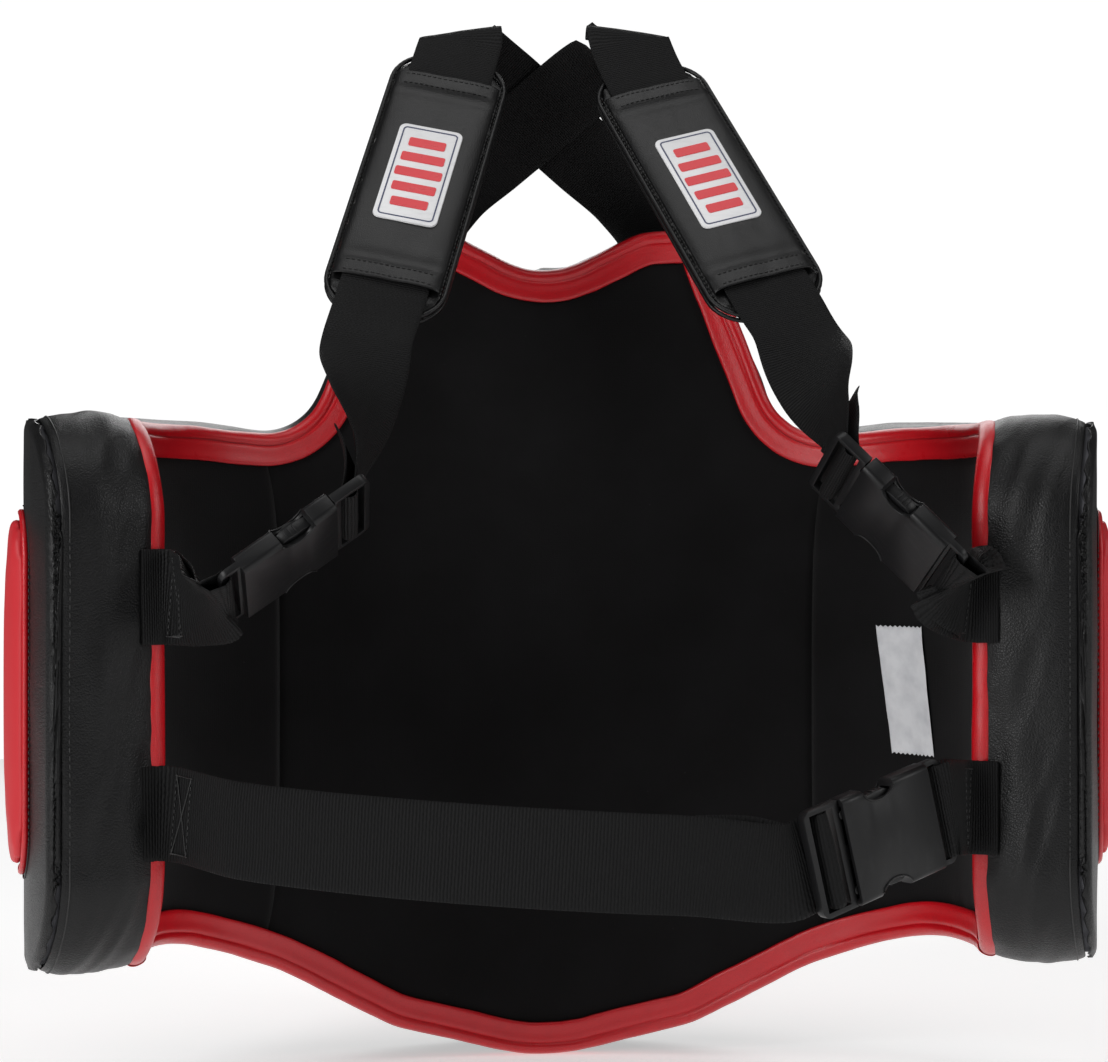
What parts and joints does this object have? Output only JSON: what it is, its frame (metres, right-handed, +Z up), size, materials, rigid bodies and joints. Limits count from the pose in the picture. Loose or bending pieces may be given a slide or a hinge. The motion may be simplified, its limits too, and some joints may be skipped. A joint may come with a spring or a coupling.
{
  "type": "chest protector",
  "caption": "Wrap-around padded body protector for boxing coaches, with crossed shoulder straps, sliding pads, a waist belt and quick-release buckles.",
  "frame": {"origin": "the middle of the wearer's chest, on the centre line of the torso space, 60 mm below the tops of the wings", "axes": "+X to the wearer's right, +Y the way the wearer faces (out of the strike face), +Z up the wearer's back"},
  "size_m": [0.6204, 0.3877, 0.6378],
  "materials": {
    "lining_fabric": "black brushed tricot",
    "comfort_foam": "soft grey foam",
    "impact_foam": "dense closed-cell foam",
    "red_binding": "glossy red vinyl tape",
    "red_vinyl": "glossy red grained vinyl",
    "buckle_plastic": "moulded satin black",
    "elastic": "ribbed black elastic",
    "webbing": "ribbed black webbing",
    "label_satin": "silver-white satin",
    "patch_white": "white moulded patch",
    "black_vinyl": "glossy black grained vinyl"
  },
  "bodies": {
    "shell": {"belly_pad_cover": "red_vinyl", "belly_pad_foam": "impact_foam", "bottom_binding": "red_binding", "bottom_gusset": "black_vinyl", "care_label": "label_satin", "comfort_foam": "comfort_foam", "front_cover": "black_vinyl", "impact_foam_front": "impact_foam", "impact_foam_left": "impact_foam", "impact_foam_right": "impact_foam", "left_rib_pad_cover": "red_vinyl", "left_rib_pad_foam": "impact_foam", "left_shoulder_buckle_housing": "buckle_plastic", "left_shoulder_strap": "webbing", "left_shoulder_tab": "webbing", "left_side_binding": "red_binding", "left_side_cover": "black_vinyl", "left_side_gusset": "black_vinyl", "lining_centre": "lining_fabric", "lining_left": "lining_fabric", "lining_right": "lining_fabric", "neckline_binding": "red_binding", "neckline_gusset": "black_vinyl", "right_rib_pad_cover": "red_vinyl", "right_rib_pad_foam": "impact_foam", "right_shoulder_buckle_housing": "buckle_plastic", "right_shoulder_strap": "webbing", "right_shoulder_tab": "webbing", "right_side_binding": "red_binding", "right_side_cover": "black_vinyl", "right_side_gusset": "black_vinyl", "strap_anchor_patches": "black_vinyl", "waist_belt": "elastic", "waist_buckle_housing": "buckle_plastic", "waist_tab": "webbing"},
    "left_shoulder_pad": {"left_shoulder_pad_base": "black_vinyl", "left_shoulder_pad_foam": "impact_foam", "left_shoulder_pad_patch": "patch_white", "left_shoulder_pad_sleeve": "black_vinyl"},
    "right_shoulder_pad": {"right_shoulder_pad_base": "black_vinyl", "right_shoulder_pad_foam": "impact_foam", "right_shoulder_pad_patch": "patch_white", "right_shoulder_pad_sleeve": "black_vinyl"},
    "left_shoulder_male": {"left_shoulder_buckle_frame": "buckle_plastic"},
    "left_shoulder_upper_prong": {"left_shoulder_buckle_upper_prong": "buckle_plastic"},
    "left_shoulder_lower_prong": {"left_shoulder_buckle_lower_prong": "buckle_plastic"},
    "right_shoulder_male": {"right_shoulder_buckle_frame": "buckle_plastic"},
    "right_shoulder_upper_prong": {"right_shoulder_buckle_upper_prong": "buckle_plastic"},
    "right_shoulder_lower_prong": {"right_shoulder_buckle_lower_prong": "buckle_plastic"},
    "waist_male": {"waist_buckle_frame": "buckle_plastic"},
    "waist_upper_prong": {"waist_buckle_upper_prong": "buckle_plastic"},
    "waist_lower_prong": {"waist_buckle_lower_prong": "buckle_plastic"}
  },
  "joints": [
    {"name": "left_shoulder_buckle_release", "type": "slide", "parent": "shell", "child": "left_shoulder_male", "axis": [0.7863, 0.2791, 0.5512], "range_m": [0, 0.045], "deforming": ["left_shoulder_strap"]},
    {"name": "left_shoulder_upper_prong_squeeze", "type": "hinge", "parent": "left_shoulder_male", "child": "left_shoulder_upper_prong", "pos_m": [-0.13073, -0.08645, 0.01176], "axis": [0.6178, -0.3548, -0.7017], "range_deg": [0, 12]},
    {"name": "left_shoulder_lower_prong_squeeze", "type": "hinge", "parent": "left_shoulder_male", "child": "left_shoulder_lower_prong", "pos_m": [-0.13074, -0.04987, -0.00675], "axis": [-0.6178, 0.3548, 0.7017], "range_deg": [0, 12]},
    {"name": "right_shoulder_buckle_release", "type": "slide", "parent": "shell", "child": "right_shoulder_male", "axis": [-0.6669, 0.269, 0.6949], "range_m": [0, 0.045], "deforming": ["right_shoulder_strap"]},
    {"name": "right_shoulder_upper_prong_squeeze", "type": "hinge", "parent": "right_shoulder_male", "child": "right_shoulder_upper_prong", "pos_m": [0.15471, -0.08669, 0.03207], "axis": [0.7384, 0.3637, 0.5679], "range_deg": [0, 12]},
    {"name": "right_shoulder_lower_prong_squeeze", "type": "hinge", "parent": "right_shoulder_male", "child": "right_shoulder_lower_prong", "pos_m": [0.15061, -0.05013, 0.01398], "axis": [-0.7384, -0.3637, -0.5679], "range_deg": [0, 12]},
    {"name": "waist_buckle_release", "type": "slide", "parent": "shell", "child": "waist_male", "axis": [-0.8424, -0.4725, -0.2592], "range_m": [0, 0.045], "deforming": ["waist_belt"]},
    {"name": "waist_upper_prong_squeeze", "type": "hinge", "parent": "waist_male", "child": "waist_upper_prong", "pos_m": [0.13273, -0.12304, -0.14655], "axis": [-0.4892, 0.8722, 0], "range_deg": [0, 12]},
    {"name": "waist_lower_prong_squeeze", "type": "hinge", "parent": "waist_male", "child": "waist_lower_prong", "pos_m": [0.142, -0.11784, -0.18615], "axis": [0.4892, -0.8722, 0], "range_deg": [0, 12]},
    {"name": "left_shoulder_pad_slide", "type": "slide", "parent": "shell", "child": "left_shoulder_pad", "axis": [0.2363, 0.5618, 0.7928], "range_m": [-0.02, 0]},
    {"name": "right_shoulder_pad_slide", "type": "slide", "parent": "shell", "child": "right_shoulder_pad", "axis": [-0.3239, 0.5758, 0.7507], "range_m": [-0.02, 0]}
  ],
  "couplings": [
    {"joint": "left_shoulder_upper_prong_squeeze", "follows": "left_shoulder_buckle_release", "rad_per_m": 4.65},
    {"joint": "left_shoulder_lower_prong_squeeze", "follows": "left_shoulder_buckle_release", "rad_per_m": 4.65},
    {"joint": "right_shoulder_upper_prong_squeeze", "follows": "right_shoulder_buckle_release", "rad_per_m": 4.65},
    {"joint": "right_shoulder_lower_prong_squeeze", "follows": "right_shoulder_buckle_release", "rad_per_m": 4.65},
    {"joint": "waist_upper_prong_squeeze", "follows": "waist_buckle_release", "rad_per_m": 4.65},
    {"joint": "waist_lower_prong_squeeze", "follows": "waist_buckle_release", "rad_per_m": 4.65}
  ]
}
